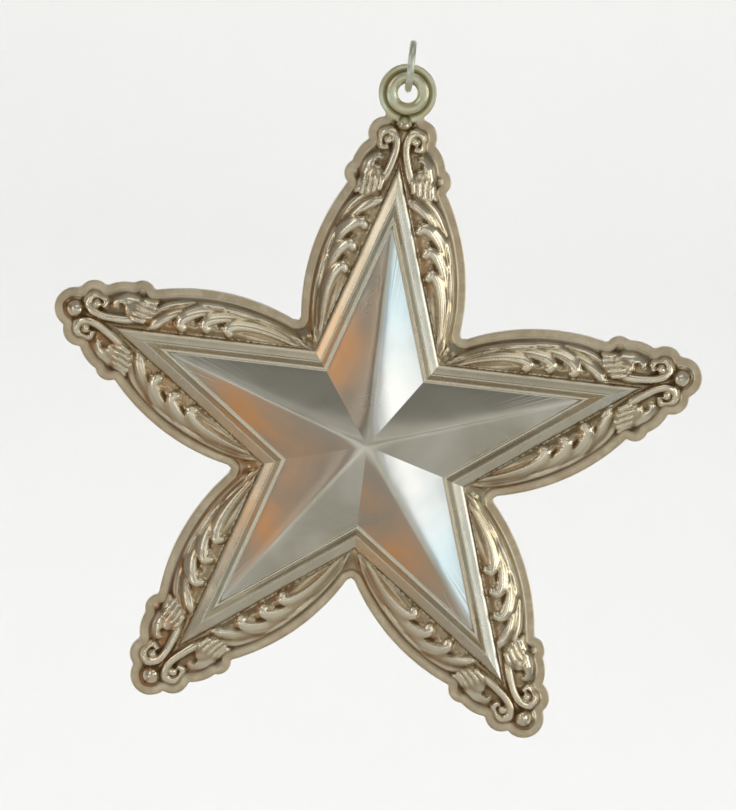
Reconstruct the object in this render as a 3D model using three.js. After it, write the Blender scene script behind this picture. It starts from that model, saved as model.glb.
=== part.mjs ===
// A five-armed silver star ornament, made of two thin sheets soldered together at the rim.
//
// The front sheet is struck in a die: ten smooth facets rise to a peak, a moulding runs round
// them, and a border of acanthus leaves falls from the moulding to a flat rim. The back sheet is
// flat. The top arm ends in an eyelet, and a jump ring of round wire passes through its hole.
//
// Sizes are in millimetres, +Z is up, and the face looks along -Y. The origin is the top of the
// inside of the jump ring, where a hook or a ribbon holds the star.

import * as THREE from 'three';
import { mergeVertices } from 'three/addons/utils/BufferGeometryUtils.js';

// Sheets and rim
const FRONT_SHEET = 0.45;
const BACK_SHEET = 0.45;
const SOLDER = 0.15;
const RIDGE_THINNING = 0.135; // how much thinner the front sheet is drawn over its ridges
const RIM_WIDTH = 1.1; // flat rim outside the leaves

// Star
const ARMS = 5;
const ARM_LENGTH = 40; // star's centre to the end of an arm
const EDGE_SLANT = 18; // degrees between an arm's axis and the straight edges of its facets
const FACET_REACH = 7.85; // star's centre to a facet's straight edge, measured square to it
const MOULDING_WIDTH = 2.33; // facet edge to leaf border, measured square to the edge
const PEAK_HEIGHT = 6.1; // peak of the facets over the rim
const FACET_FOOT = 2.45; // edge of the facets over the rim
const RIDGE_SOFTNESS = 0.6; // how far the ridge along an arm is rounded to each side
const MOULDING_CREST = 0.8; // sharp line of the moulding over the edge of the facets
const MOULDING_BEAD = 0.4; // the two round lines beside it over the edge of the facets
const BORDER_HEIGHT = 2.2; // inner edge of the leaf border over the rim
const BORDER_CURVE = 2.2; // exponent of its fall to the rim, 1 is straight
const TIP_FALL = 0.9; // how much lower the border lies at the end of an arm
const TIP_FALL_LENGTH = 13; // length over which it falls

// Outline of half an arm: a long leaf, then round lobes up to the tip
const LEAF_HALF_WIDTH = 9.55; // widest half width of an arm
const LEAF_WIDEST = 16.6; // star's centre to that widest place, along the arm
const LEAF_END_ANGLE = -47; // degrees round the palmette lobe where the long leaf meets it
const NOTCH_FILLET = 0.5; // radius in the notch between two arms
const PALMETTE_LOBE = 1.6; // each lobe has a radius, a place across and a place back from the tip
const PALMETTE_ACROSS = 4.69;
const PALMETTE_BACK = 8.92;
const COLLAR_LOBE = 4.58;
const COLLAR_ACROSS = 1;
const COLLAR_BACK = 8.33;
const SHOULDER_LOBE = 1.98;
const SHOULDER_ACROSS = 2.08;
const SHOULDER_BACK = 3.95;
const TIP_LOBE = 2.4;

// Leaves on the border of half an arm
const TONGUE_HEADS = [28.9, 25.7, 23.1, 20.6]; // star's centre to each curled head, along the arm
const TONGUE_TAILS = [25.4, 22.3, 19.1, 12.9]; // and to the end of each tail
const TONGUE_HALF_WIDTH = 0.62;
const TONGUE_HEIGHT = 0.6;
const HEAD_GAP = 0.75; // moulding to the middle of a head, across
const TAIL_INSET = 2.3; // outline to the end of a tail, across
const PALMETTE_HEIGHT = 0.75;
const PALMETTE_RADIUS = 2.3;
const PALMETTE_INSET = 0.75; // middle of the palmette in from its lobe of the outline
const PALMETTE_RISE = 0.6; // and on towards the tip
const STRAND_HEIGHT = 0.5; // two strands run from the point of the moulding to the volutes
const STRAND_HALF_WIDTH = 0.45;
const VOLUTE_HEIGHT = 0.75;
const VOLUTE_RADIUS = 1.15;
const BEAD_RADIUS = 1.05; // round bead at the tip
const BEAD_HEIGHT = 0.9;
const BEAD_BACK = 2.5; // middle of the bead back from the tip
const LEAF_FADE = 0.7; // share of the border beyond which the leaves sink into the rim

// Eyelet on the end of the top arm
const EYELET_BEYOND = 1; // end of a plain arm to the middle of the eyelet
const EYELET_RADIUS = 3.4;
const HOLE_RADIUS = 1.13;
const EYELET_RIM = 0.75; // flat rim round the raised ring
const EYELET_RING_HEIGHT = 0.8; // raised ring round the hole, over the rim
const TOP_BEAD_GAP = 0.1; // between the raised ring and the bead below it
const TOP_BEAD_HEIGHT = 1.6;

// Jump ring
const WIRE = 0.83;
const RING_INSIDE = 4.54; // inner diameter
const RING_SPLIT = 0.12; // the open butt joint of the ring
const RING_SPLIT_ANGLE = 70; // degrees from the top of the ring towards the back
const HOLE_CLEARANCE = 0.3; // wire to the top of the eyelet's hole

// Facets of the model
const LEAF_STEPS = 12; // stations along the long leaf
const LOBE_STEPS = 3; // stations along each lobe
const FACET_ROWS = 3;
const BORDER_ROWS = 6;
const EYELET_STEPS = 22; // stations along the free round of the eyelet
const RING_STEPS = 44;
const WIRE_SIDES = 10;

const DEG = Math.PI / 180;
const SLANT_COS = Math.cos(EDGE_SLANT * DEG);
const SLANT_SIN = Math.sin(EDGE_SLANT * DEG);
const SECTOR = Math.PI / ARMS; // half of the angle between two arms
const LEAF_EDGE = FACET_REACH + MOULDING_WIDTH;
const MOULDING_POINT = LEAF_EDGE / SLANT_SIN; // star's centre to the point of the moulding
const EYELET_CENTRE = ARM_LENGTH + EYELET_BEYOND; // star's centre to the middle of the eyelet
const RING_FOOT = EYELET_RADIUS - EYELET_RIM; // outer radius of the raised ring

// The stack of sheets, from front to back
const RIM_FACE = -FRONT_SHEET;
const SOLDER_FACE = 0;
const BACK_SHEET_FACE = SOLDER_FACE + SOLDER;

// The ring hangs from the top of its inside, and the star hangs from the bottom of the ring
const RING_RADIUS = (RING_INSIDE + WIRE) / 2;
const RING_CENTRE_Z = -RING_INSIDE / 2;
const EYELET_Z = RING_CENTRE_Z - RING_RADIUS + WIRE / 2 + HOLE_CLEARANCE - HOLE_RADIUS;
const STAR_Z = EYELET_Z - EYELET_CENTRE;

const silver = new THREE.MeshStandardMaterial({ color: 0xc9c3b4, roughness: 0.22, metalness: 1 });
const backSilver = new THREE.MeshStandardMaterial({ color: 0xbdb6a6, roughness: 0.34, metalness: 1 });
const solderSilver = new THREE.MeshStandardMaterial({ color: 0xa69c88, roughness: 0.45, metalness: 1 });
const wireSilver = new THREE.MeshStandardMaterial({ color: 0xc8cbb6, roughness: 0.3, metalness: 1 });

const mix = (from, to, t) => from + (to - from) * t;
const point = (x, y) => new THREE.Vector2(x, y);

function smooth(from, to, value) {
  const t = THREE.MathUtils.clamp((value - from) / (to - from), 0, 1);
  return t * t * (3 - 2 * t);
}

// OUTLINE, in arm coordinates: x across the arm from its axis, y along the arm from the centre

const lobe = (x, back, r) => ({ x, y: ARM_LENGTH - back, r });
const palmetteLobe = lobe(PALMETTE_ACROSS, PALMETTE_BACK, PALMETTE_LOBE);
const collarLobe = lobe(COLLAR_ACROSS, COLLAR_BACK, COLLAR_LOBE);
const shoulderLobe = lobe(SHOULDER_ACROSS, SHOULDER_BACK, SHOULDER_LOBE);
const tipLobe = lobe(0, TIP_LOBE, TIP_LOBE);
const eyeletDisc = { x: 0, y: EYELET_CENTRE, r: EYELET_RADIUS };
const onCircle = ({ x, y, r }, angle) => point(x + r * Math.cos(angle), y + r * Math.sin(angle));
const angleOn = ({ x, y }, place) => Math.atan2(place.y - y, place.x - x);

// The leaf's arc is upright at its widest place and ends on the palmette lobe
const leafEnd = onCircle(palmetteLobe, LEAF_END_ANGLE * DEG);
const leafArc = fitLeafArc();

function fitLeafArc() {
  const inward = LEAF_HALF_WIDTH - leafEnd.x;
  const along = leafEnd.y - LEAF_WIDEST;
  const r = (inward * inward + along * along) / (2 * inward);
  return { x: LEAF_HALF_WIDTH - r, y: LEAF_WIDEST, r };
}

// The crossing of two circles, the second further along the arm, that lies away from the axis
function crossing(first, second) {
  const apart = point(second.x - first.x, second.y - first.y);
  const length = apart.length();
  const along = (length ** 2 + first.r ** 2 - second.r ** 2) / (2 * length);
  const aside = Math.sqrt(Math.max(0, first.r ** 2 - along ** 2));
  return point(
    first.x + (along * apart.x + aside * apart.y) / length,
    first.y + (along * apart.y - aside * apart.x) / length,
  );
}

// Points round a circle from one place up to, and without, another
function arcPoints(circle, from, to, steps) {
  const start = angleOn(circle, from);
  const turn = angleOn(circle, to) - start;
  return Array.from({ length: steps }, (_, i) => onCircle(circle, start + (turn * i) / steps));
}

// The notch between two arms is a fillet whose middle lies on the line halfway between them
function notchFillet() {
  const halfway = point(Math.sin(SECTOR), Math.cos(SECTOR));
  const reach = leafArc.r + NOTCH_FILLET;
  const half = halfway.dot(point(leafArc.x, leafArc.y));
  const square = leafArc.x ** 2 + leafArc.y ** 2 - reach ** 2;
  const middle = half + Math.sqrt(half * half - square);
  const centre = halfway.clone().multiplyScalar(middle);
  const bottom = halfway.clone().multiplyScalar(middle - NOTCH_FILLET);
  const meeting = point(leafArc.x, leafArc.y).lerp(centre, leafArc.r / reach);
  return { bottom, meeting };
}

// A place on a line parallel to a facet's straight edge, from the valley (0) to the ridge (1)
function edgePlace(reach, share) {
  const corner = reach / Math.sin(SECTOR + EDGE_SLANT * DEG);
  return point(
    mix(corner * Math.sin(SECTOR), 0, share),
    mix(corner * Math.cos(SECTOR), reach / SLANT_SIN, share),
  );
}

// Where a station leaves the moulding (stops from 0 to 1) or the arm's axis beyond it (1 to 2)
function innerPlace(stop) {
  const place = edgePlace(LEAF_EDGE, Math.min(stop, 1));
  place.y = mix(place.y, ARM_LENGTH, Math.max(0, stop - 1));
  return place;
}

// Runs of places along the outline of half an arm, each with the stops where it starts and ends
function outlineRuns(isTop) {
  const notch = notchFillet();
  const collarStart = crossing(palmetteLobe, collarLobe);
  const shoulderStart = crossing(collarLobe, shoulderLobe);
  const tipStart = crossing(shoulderLobe, tipLobe);
  const runs = [
    [0, 0.04, [notch.bottom]],
    [0.04, 0.82, arcPoints(leafArc, notch.meeting, leafEnd, LEAF_STEPS)],
    [0.82, 0.92, arcPoints(palmetteLobe, leafEnd, collarStart, LOBE_STEPS)],
    [0.92, 1, arcPoints(collarLobe, collarStart, shoulderStart, LOBE_STEPS)],
    [1, 1.3, arcPoints(shoulderLobe, shoulderStart, tipStart, LOBE_STEPS)],
  ];
  if (isTop) {
    const neck = crossing(tipLobe, eyeletDisc);
    const seamEnd = onCircle(eyeletDisc, -Math.PI / 2);
    runs.push([1.3, 1.34, arcPoints(tipLobe, tipStart, neck, 1)]);
    runs.push([1.34, 1.55, arcPoints(eyeletDisc, neck, seamEnd, LOBE_STEPS)]);
    runs.push([1.55, 1.55, [seamEnd]]);
  } else {
    const tip = onCircle(tipLobe, Math.PI / 2);
    runs.push([1.3, 1.75, arcPoints(tipLobe, tipStart, tip, LOBE_STEPS)]);
    runs.push([1.75, 1.75, [tip]]);
  }
  return runs;
}

const allPlaces = (runs) => runs.flatMap(([, , places]) => places);
const plainOutline = allPlaces(outlineRuns(false));
const topOutline = allPlaces(outlineRuns(true)).slice(0, -LOBE_STEPS);

// Stations of half an arm, each from an inner place out to the outline
function stationsOf(isTop) {
  return outlineRuns(isTop).flatMap(([from, to, places]) => places.map((outer, i) => {
    const stop = mix(from, to, i / places.length);
    const inner = innerPlace(stop);
    const at = (share) => inner.clone().lerp(outer, share);
    return { stop, inner, outer, at, rim: rimShare(at, isTop) };
  }));
}

// Distance in from the outline, without the seam between the top arm and the eyelet
function depthInside(place, isTop) {
  const line = isTop ? topOutline : plainOutline;
  const distances = line.slice(1).map((end, i) => {
    const along = end.clone().sub(line[i]);
    const share = place.clone().sub(line[i]).dot(along) / along.lengthSq();
    return place.distanceTo(line[i].clone().addScaledVector(along, THREE.MathUtils.clamp(share, 0, 1)));
  });
  return Math.min(...distances);
}

// Share of a station at which the flat rim starts, found by halving
function rimShare(at, isTop) {
  const depthAt = (share) => depthInside(at(share), isTop) - RIM_WIDTH;
  let inside = 0;
  let outside = 1;
  if (depthAt(outside) > 0) {
    return outside;
  }
  for (let i = 0; i < 24; i += 1) {
    const middle = (inside + outside) / 2;
    if (depthAt(middle) > 0) {
      inside = middle;
    } else {
      outside = middle;
    }
  }
  return inside;
}

// FACE, as heights over the rim at a place in arm coordinates

// A rounded stroke along a bent line
function stroke(x, y, { from, via, to, start, end, height }) {
  const steps = 14;
  let best = 0;
  for (let i = 0; i <= steps; i += 1) {
    const t = i / steps;
    const nearX = mix(mix(from.x, via.x, t), mix(via.x, to.x, t), t);
    const nearY = mix(mix(from.y, via.y, t), mix(via.y, to.y, t), t);
    const off = Math.hypot(x - nearX, y - nearY) / mix(start, end, t);
    best = Math.max(best, Math.sqrt(Math.max(0, 1 - off * off)) * mix(1, 0.7, t));
  }
  return best * height;
}

const dome = (x, y, cx, cy, r) => Math.sqrt(Math.max(0, 1 - ((x - cx) ** 2 + (y - cy) ** 2) / r ** 2));
const mouldingAt = (y) => Math.max(0, (LEAF_EDGE - y * SLANT_SIN) / SLANT_COS);
const outlineAt = (y) => leafArc.x + Math.sqrt(Math.max(0, leafArc.r ** 2 - (y - leafArc.y) ** 2));

// Each tongue of the long leaf curls from a head beside the moulding to a tail near the rim
const tongues = TONGUE_HEADS.map((head, i) => {
  const tail = TONGUE_TAILS[i];
  const to = point(outlineAt(tail) - TAIL_INSET, tail);
  return {
    from: point(mouldingAt(head) + HEAD_GAP, head),
    via: point(to.x, mix(tail, head, 0.8)),
    to,
    start: TONGUE_HALF_WIDTH,
    end: TONGUE_HALF_WIDTH * 0.6,
    height: TONGUE_HEIGHT,
  };
});

const volute = point(SHOULDER_ACROSS - STRAND_HALF_WIDTH / 2, shoulderLobe.y);
const strand = {
  from: point(palmetteLobe.x / 2, palmetteLobe.y - PALMETTE_LOBE / 2),
  via: point(0, MOULDING_POINT),
  to: point(volute.x / 3, volute.y),
  start: STRAND_HALF_WIDTH,
  end: STRAND_HALF_WIDTH,
  height: STRAND_HEIGHT,
};

const palmette = point(palmetteLobe.x - PALMETTE_INSET, palmetteLobe.y + PALMETTE_RISE);

function ornament(x, y) {
  return Math.max(
    ...tongues.map((line) => stroke(x, y, line)),
    stroke(x, y, strand),
    PALMETTE_HEIGHT * dome(x, y, palmette.x, palmette.y, PALMETTE_RADIUS),
    VOLUTE_HEIGHT * dome(x, y, volute.x, volute.y, VOLUTE_RADIUS),
  );
}

// Profile across the moulding: share of its width, then height over the edge of the facets
const mouldingProfile = [
  [0, 0],
  [0.16, MOULDING_BEAD],
  [0.3, MOULDING_BEAD * 0.8],
  [0.45, MOULDING_CREST],
  [0.64, MOULDING_BEAD * 0.6],
  [0.8, MOULDING_BEAD],
  [1, BORDER_HEIGHT - FACET_FOOT],
];

function mouldingHeight(share) {
  const next = mouldingProfile.findIndex(([at]) => at >= share - 1e-6);
  if (next < 1) {
    return mouldingProfile[next < 0 ? mouldingProfile.length - 1 : 0][1];
  }
  const [startAt, startHeight] = mouldingProfile[next - 1];
  const [endAt, endHeight] = mouldingProfile[next];
  return mix(startHeight, endHeight, (share - startAt) / (endAt - startAt));
}

const facetSlope = (PEAK_HEIGHT - FACET_FOOT) / FACET_REACH;
const halfFall = TIP_FALL_LENGTH / 2;
const tipFall = (y) => TIP_FALL * smooth(MOULDING_POINT - halfFall, MOULDING_POINT + halfFall, y);

// Ground of the leaf border, which falls in a curve from the moulding to the rim
function groundAt(x, y, isTop) {
  const out = Math.max(0, x * SLANT_COS + y * SLANT_SIN - LEAF_EDGE);
  const left = Math.max(0, depthInside(point(x, y), isTop) - RIM_WIDTH);
  const share = left > 1e-6 ? out / (out + left) : 1;
  return { share, height: (BORDER_HEIGHT - tipFall(y)) * (1 - share ** BORDER_CURVE) };
}

function faceHeight(x, y, isTop) {
  const reach = x * SLANT_COS + y * SLANT_SIN;
  if (reach <= FACET_REACH + 1e-6) {
    const rounding = (Math.hypot(x, RIDGE_SOFTNESS) - x) * SLANT_COS;
    return FACET_FOOT + facetSlope * (FACET_REACH - reach - rounding) - tipFall(y);
  }
  if (reach <= LEAF_EDGE + 1e-6) {
    return FACET_FOOT + mouldingHeight((reach - FACET_REACH) / MOULDING_WIDTH) - tipFall(y);
  }
  const ground = groundAt(x, y, isTop);
  const fade = 1 - smooth(LEAF_FADE, 1, ground.share);
  const bead = isTop ? 0 : BEAD_HEIGHT * dome(x, y, 0, ARM_LENGTH - BEAD_BACK, BEAD_RADIUS);
  return ground.height + Math.max(ornament(x, y) * fade, bead);
}

// The top arm's face runs flat into the eyelet and has its bead below the ring
const topBeadY = EYELET_CENTRE - RING_FOOT - TOP_BEAD_GAP - BEAD_RADIUS;

function topHeight(x, y) {
  const radius = Math.hypot(x, y - EYELET_CENTRE);
  const bead = TOP_BEAD_HEIGHT * dome(x, y, 0, topBeadY, BEAD_RADIUS);
  if (radius <= EYELET_RADIUS) {
    const half = (RING_FOOT - HOLE_RADIUS) / 2;
    const off = (radius - HOLE_RADIUS - half) / half;
    return Math.max(bead, EYELET_RING_HEIGHT * Math.sqrt(Math.max(0, 1 - off * off)));
  }
  const fade = smooth(0, RIM_WIDTH, radius - EYELET_RADIUS);
  return Math.max(bead, faceHeight(x, y, true) * fade);
}

// SHEETS

const toGeometry = (triangles) => {
  const geometry = new THREE.BufferGeometry();
  const positions = triangles.flat().flatMap(({ x, y, z }) => [x, y, z]);
  geometry.setAttribute('position', new THREE.Float32BufferAttribute(positions, 3));
  return welded(geometry);
};

function welded(geometry) {
  geometry.deleteAttribute('uv');
  geometry.deleteAttribute('normal');
  const merged = mergeVertices(geometry, 1e-4);
  merged.computeVertexNormals();
  return merged;
}

// Rows of places become two triangles for each cell, turned over where they face the other way
function cells(rows, turned) {
  const apart = (p, q) => p.distanceToSquared(q) > 1e-7;
  const whole = ([a, b, c]) => apart(a, b) && apart(b, c) && apart(c, a);
  const triangles = rows.slice(1).flatMap((row, i) => row.slice(1).flatMap((corner, j) => [
    [rows[i][j], row[j], rows[i][j + 1]],
    [row[j], corner, rows[i][j + 1]],
  ])).filter(whole);
  return turned ? triangles.map(([a, b, c]) => [a, c, b]) : triangles;
}

// A place in arm coordinates, at a height over the rim, on one side of an arm of the model
function lifted({ x, y }, height, arm, side) {
  const turn = (arm * 2 * Math.PI) / ARMS;
  const across = x * side;
  return new THREE.Vector3(
    across * Math.cos(turn) + y * Math.sin(turn),
    RIM_FACE - height,
    STAR_Z + y * Math.cos(turn) - across * Math.sin(turn),
  );
}

const plainStations = stationsOf(false);
const topStations = stationsOf(true);
const seamStations = topStations.slice(-LOBE_STEPS - 1);

const shares = (steps) => Array.from({ length: steps }, (_, i) => (i + 1) / steps);

function halfArm(arm, side) {
  const isTop = arm === 0;
  const stations = isTop ? topStations : plainStations;
  const rays = stations.filter(({ stop }) => stop <= 1);
  const heightAt = isTop ? topHeight : (x, y) => faceHeight(x, y, false);
  const front = (place) => lifted(place, heightAt(place.x, place.y), arm, side);
  const back = (place, height) => lifted(place, height - FRONT_SHEET, arm, side);
  const peak = point(0, 0);

  const reaches = [
    ...shares(FACET_ROWS).map((share) => share * FACET_REACH),
    ...mouldingProfile.slice(1).map(([share]) => FACET_REACH + share * MOULDING_WIDTH),
  ];
  const facets = rays.map(({ stop }) => [
    front(peak),
    ...reaches.map((reach) => front(edgePlace(reach, stop))),
  ]);
  const border = stations.map(({ at, rim, outer }) => [
    ...[0, ...shares(BORDER_ROWS)].map((share) => front(at(share * rim))),
    isTop ? front(outer) : lifted(outer, 0, arm, side),
  ]);

  // The inside of the sheet is plainer, and thinner metal over the ridges leaves it clear of them
  const lining = (height) => Math.max(0, height - RIDGE_THINNING);
  const inner = (reach, stop) => {
    const place = edgePlace(reach, stop);
    const height = reach > FACET_REACH ? BORDER_HEIGHT : FACET_FOOT;
    return back(place, lining(height - tipFall(place.y)));
  };
  const facetLining = rays.map(({ stop }) => [
    back(peak, lining(PEAK_HEIGHT)),
    inner(FACET_REACH, stop),
    inner(LEAF_EDGE, stop),
  ]);
  const borderLining = stations.map(({ at, rim, inner: start, outer }) => {
    const middle = at(rim * 0.55);
    const ground = groundAt(middle.x, middle.y, isTop);
    return [
      back(start, lining(BORDER_HEIGHT - tipFall(start.y))),
      back(middle, lining(ground.height)),
      back(at(rim), 0),
      back(outer, 0),
    ];
  });
  const edge = (isTop ? stations.slice(0, -LOBE_STEPS) : stations).map(({ outer }) => [
    isTop ? front(outer) : lifted(outer, 0, arm, side),
    back(outer, 0),
  ]);
  const turned = side > 0;
  return [
    ...cells(facets, turned),
    ...cells(border, turned),
    ...cells(facetLining, !turned),
    ...cells(borderLining, !turned),
    ...cells(edge, turned),
  ];
}

// Angles round the eyelet: the stations where the arm meets it, and the free round between them
function eyeletAngles() {
  const seam = seamStations.map(({ outer }) => angleOn(eyeletDisc, outer));
  const start = seam[0];
  const round = Math.PI - 2 * start;
  return [
    ...seam.slice().reverse(),
    ...shares(EYELET_STEPS).map((share) => start + round * share),
    ...seam.slice(1).map((angle) => Math.PI - angle),
  ];
}

function eyelet() {
  const angles = eyeletAngles();
  const ringRadii = [0, 0.12, 0.35, 0.65, 0.88, 1].map((share) => mix(HOLE_RADIUS, RING_FOOT, share));
  const place = (r, angle) => onCircle({ ...eyeletDisc, r }, angle);
  const front = (r, angle) => {
    const { x, y } = place(r, angle);
    return lifted(point(x, y), topHeight(x, y), 0, 1);
  };
  const back = (r, angle) => lifted(place(r, angle), -FRONT_SHEET, 0, 1);
  const face = angles.map((angle) => [...ringRadii, EYELET_RADIUS].map((r) => front(r, angle)));
  const underside = angles.map((angle) => [HOLE_RADIUS, EYELET_RADIUS].map((r) => back(r, angle)));
  const hole = angles.map((angle) => [front(HOLE_RADIUS, angle), back(HOLE_RADIUS, angle)]);
  const free = angles.slice(LOBE_STEPS, -LOBE_STEPS);
  const edge = free.map((angle) => [front(EYELET_RADIUS, angle), back(EYELET_RADIUS, angle)]);
  return [
    ...cells(face, true),
    ...cells(underside, false),
    ...cells(hole, false),
    ...cells(edge, true),
  ];
}

function frontShell() {
  const arms = Array.from({ length: ARMS }, (_, arm) => [...halfArm(arm, 1), ...halfArm(arm, -1)]);
  return toGeometry([...arms.flat(), ...eyelet()]);
}

// Loop round the whole star through one place of each station, and round the eyelet's free part
function loopAround(placeOf, eyeletPlaces) {
  const toShape = (place, arm, side) => {
    const { x, z } = lifted(place, 0, arm, side);
    return point(x, z);
  };
  return Array.from({ length: ARMS }, (_, arm) => {
    const stations = arm === 0 ? topStations.slice(0, -LOBE_STEPS) : plainStations;
    const right = stations.map((station) => toShape(placeOf(station), arm, 1));
    const left = stations.slice(1).map((station) => toShape(placeOf(station), arm, -1));
    const crown = arm === 0 ? eyeletPlaces : [];
    return arm === 0 ? [...left, ...crown, ...right.reverse()] : [...left, ...right.reverse().slice(1)];
  }).flat();
}

function outlineLoop() {
  const crown = eyeletAngles().slice(LOBE_STEPS + 1, -LOBE_STEPS - 1).reverse();
  const places = crown.map((angle) => {
    const { x, z } = lifted(onCircle(eyeletDisc, angle), 0, 0, 1);
    return point(x, z);
  });
  return loopAround(({ outer }) => outer, places);
}

// A hole's loop runs the other way round from the outline
function hollowLoop() {
  return loopAround(({ at, rim }) => at(Math.min(rim, 0.85)), []).reverse();
}

function holeLoop() {
  return eyeletAngles().slice(1).map((angle) => {
    const { x, z } = lifted(onCircle({ ...eyeletDisc, r: HOLE_RADIUS }, angle), 0, 0, 1);
    return point(x, z);
  });
}

// A flat sheet is extruded along its thickness, which then turns to face the front
function flatSheet(front, thickness, holes) {
  const shape = new THREE.Shape(outlineLoop());
  shape.holes.push(...holes.map((loop) => new THREE.Path(loop)));
  const geometry = new THREE.ExtrudeGeometry(shape, { depth: thickness, bevelEnabled: false });
  geometry.rotateX(Math.PI / 2);
  geometry.translate(0, front + thickness, 0);
  return welded(geometry);
}

// JUMP RING, in the plane through the eyelet's hole that is square to the star

class OpenRing extends THREE.Curve {
  getPoint(t, target = new THREE.Vector3()) {
    const open = RING_SPLIT / RING_RADIUS;
    const angle = RING_SPLIT_ANGLE * DEG + open / 2 + t * (2 * Math.PI - open);
    return target.set(0, RING_RADIUS * Math.sin(angle), RING_CENTRE_Z + RING_RADIUS * Math.cos(angle));
  }
}

function jumpRing() {
  const section = new THREE.Shape();
  section.absarc(0, 0, WIRE / 2, 0, 2 * Math.PI);
  return welded(new THREE.ExtrudeGeometry(section, {
    extrudePath: new OpenRing(),
    steps: RING_STEPS,
    curveSegments: WIRE_SIDES / 2,
    bevelEnabled: false,
  }));
}

function named(name, geometry, material) {
  const mesh = new THREE.Mesh(geometry, material);
  mesh.name = name;
  return mesh;
}

const star = new THREE.Group();
star.add(
  named('jump_ring', jumpRing(), wireSilver),
  named('front_shell', frontShell(), silver),
  named('rim_solder', flatSheet(SOLDER_FACE, SOLDER, [hollowLoop(), holeLoop()]), solderSilver),
  named('back_plate', flatSheet(BACK_SHEET_FACE, BACK_SHEET, [holeLoop()]), backSilver),
);

export default star;
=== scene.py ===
"""A hanging star ornament struck in silver: facets, moulding, leaf border, eyelet and jump ring."""

import math

import bmesh
import bpy
import numpy as np
from mathutils import Matrix, Vector


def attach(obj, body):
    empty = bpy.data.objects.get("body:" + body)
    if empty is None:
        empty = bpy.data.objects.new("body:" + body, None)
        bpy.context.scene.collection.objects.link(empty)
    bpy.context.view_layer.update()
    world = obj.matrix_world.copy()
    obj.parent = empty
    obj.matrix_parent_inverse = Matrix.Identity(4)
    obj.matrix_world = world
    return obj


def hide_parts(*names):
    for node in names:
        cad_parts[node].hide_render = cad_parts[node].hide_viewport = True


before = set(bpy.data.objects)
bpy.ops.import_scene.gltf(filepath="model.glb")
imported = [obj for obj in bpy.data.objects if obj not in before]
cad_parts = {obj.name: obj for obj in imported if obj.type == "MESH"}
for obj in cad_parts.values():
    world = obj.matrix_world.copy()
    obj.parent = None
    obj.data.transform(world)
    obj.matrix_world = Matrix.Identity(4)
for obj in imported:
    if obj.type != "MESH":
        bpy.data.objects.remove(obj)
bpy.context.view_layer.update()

MM = 0.001
DEG = math.pi / 180

# Sizes in millimetres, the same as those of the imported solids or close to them

FRONT_SHEET = 0.45
BACK_SHEET = 0.45
BACK_CORNER = 0.1
SOLDER = 0.15
SOLDER_IN = 0.045
SOLDER_HOLLOW = 0.03
SOLDER_REACH = 0.9
HOLE_SOLDER_IN = 0.03
HOLE_SOLDER_REACH = 0.7
RIM_WIDTH = 0.85

ARMS = 5
ARM_LENGTH = 40.0
EDGE_SLANT = 18 * DEG
FACET_REACH = 7.85
FACET_MARGIN = 0.1
MOULDING_WIDTH = 2.33
PEAK_HEIGHT = 6.1
FACET_FOOT = 2.45
RIDGE_SOFTNESS = 0.6
RIDGE_THINNING = 0.135
FACET_CROWN = 0.14
BORDER_HEIGHT = 2.1
BORDER_CURVE = 2.4
LEAF_FADE = 0.82
TIP_FALL = 0.9
TIP_FALL_LENGTH = 13.0

LEAF_HALF_WIDTH = 9.55
LEAF_WIDEST = 16.6
LEAF_END_ANGLE = -47 * DEG
NOTCH_FILLET = 0.5
EYELET_BEYOND = 1.0
EYELET_RADIUS = 3.4
HOLE_RADIUS = 1.13
EYELET_RIM = 0.75
EYELET_RING_HEIGHT = 0.8
BEAD_RADIUS = 1.05
TIP_BEAD_BACK = 2.5
TIP_BEAD_HEIGHT = 1.0
TOP_BEAD_GAP = 0.1
TOP_BEAD_HEIGHT = 1.6

WIRE = 0.83
RING_INSIDE = 4.54
RING_SPLIT = 0.12
RING_SPLIT_ANGLE = 70 * DEG
RING_CORNER = 0.12
END_SHRINK = 0.12
HOLE_CLEARANCE = 0.3

# The lip of the rim, as rows that lie so far in from the outline and drop so far
LIP_ROWS = [(RIM_WIDTH - 0.1, 0), (0.3, 0), (0.12, 0.03), (0.04, 0.08)]
LIP_END_DROP = 0.14

# The lip of the eyelet, likewise, and rows on the flat between it and the foot of the ring
EYELET_LIP_ROWS = [(0.14, 0.015), (0.05, 0.06), (0, LIP_END_DROP)]
EYELET_FLAT_ROWS = np.array([0.05, 0.35])
GROOVE_WIDTH = 0.16

# The inside of the struck sheet, which bends between the moulding and the rim
PEAK_LINING_DROP = 0.4
BORDER_LINING_DROP = 0.1
LINING_BEND = 0.55
LINING_BEND_LEVEL = 0.6

# The crease of a valley runs on beyond the facets, on the front of the star alone
VALLEY_BEYOND = 3
VALLEY_Y = -1.5

# Height of the leaves' crests, which are worn bright
CREST_HEIGHT = 0.9

# How finely the pieces are made
LEAF_STEPS = 100
LOBE_STEPS = 16
NECK_STEPS = 3
FACET_ROWS = 5
BORDER_ROWS = 28
ROW_CROWDING = 0.95
EYELET_STEPS = 97
EYELET_ROWS = 13
HOLE_STEPS = 72
RING_STEPS = 120
WIRE_SIDES = 28
HALVINGS = 22

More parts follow.
